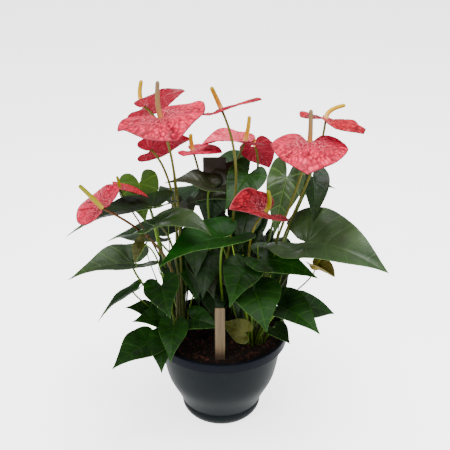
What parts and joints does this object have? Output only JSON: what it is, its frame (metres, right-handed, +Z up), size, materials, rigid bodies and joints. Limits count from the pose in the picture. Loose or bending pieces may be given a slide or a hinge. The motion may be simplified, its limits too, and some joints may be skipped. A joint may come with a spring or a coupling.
{
  "type": "potted anthurium",
  "caption": "Flowering anthurium with heart-shaped leaves and coral-red spathes, planted in a dark bowl-shaped plastic pot.",
  "frame": {"origin": "middle of the pot's flat foot, on the ground", "axes": "+Z up along the pot's axis, -Y towards the front of the plant"},
  "size_m": [0.5611, 0.3706, 0.6842],
  "materials": {
    "leaf": "dark green leaf, waxy, lighter veins",
    "young_leaf": "young leaf, yellow green, satin",
    "stalk": "smooth green-brown stalk, satin",
    "spathe": "coral-red spathe, glossy, puckered between its veins",
    "spadix": "cream to orange-yellow spadix, fine beads, matt",
    "bud": "young flower, pink and olive, satin",
    "pot": "anthracite plastic, satin",
    "soil": "dark peat with bark and fibres, matt",
    "wood": "pale raw wood",
    "card": "dark brown printed plastic card, bare, satin"
  },
  "bodies": {
    "root": {"leaf_left_far": "leaf", "leaf_left_young": "young_leaf", "leaf_left_long": "leaf", "leaf_left_heart": "leaf", "leaf_left_centre": "leaf", "leaf_centre_front": "leaf", "leaf_top_centre": "leaf", "leaf_top_left": "leaf", "leaf_right_upright": "leaf", "leaf_right_behind": "leaf", "leaf_right_big": "leaf", "leaf_right_under": "leaf", "leaf_centre_low": "leaf", "leaf_front_right": "leaf", "leaf_right_low": "leaf", "shoot_front_left": "leaf", "shoot_left": "leaf", "shoot_centre": "leaf", "shoot_right": "leaf", "shoot_back_left": "leaf", "shoot_back_right": "leaf", "peduncle_1": "stalk", "spathe_1": "spathe", "spadix_1": "spadix", "peduncle_2": "stalk", "spathe_2": "spathe", "spadix_2": "spadix", "peduncle_3": "stalk", "spathe_3": "spathe", "spadix_3": "spadix", "peduncle_4": "stalk", "spathe_4": "spathe", "spadix_4": "spadix", "peduncle_5": "stalk", "spathe_5": "spathe", "spadix_5": "spadix", "peduncle_6": "stalk", "spathe_6": "spathe", "spadix_6": "spadix", "peduncle_7": "stalk", "spathe_7": "spathe", "spadix_7": "spadix", "peduncle_8": "stalk", "spathe_8": "spathe", "spadix_8": "spadix", "peduncle_9": "stalk", "spathe_9": "spathe", "spadix_9": "spadix", "peduncle_10": "stalk", "spathe_10": "spathe", "spadix_10": "spadix", "peduncle_11": "stalk", "spathe_11": "spathe", "spadix_11": "spadix", "young_flower_left": "bud", "young_flower_right": "bud", "pot": "pot", "soil": "soil", "stick_label": "wood", "care_card": "card"}
  },
  "joints": []
}
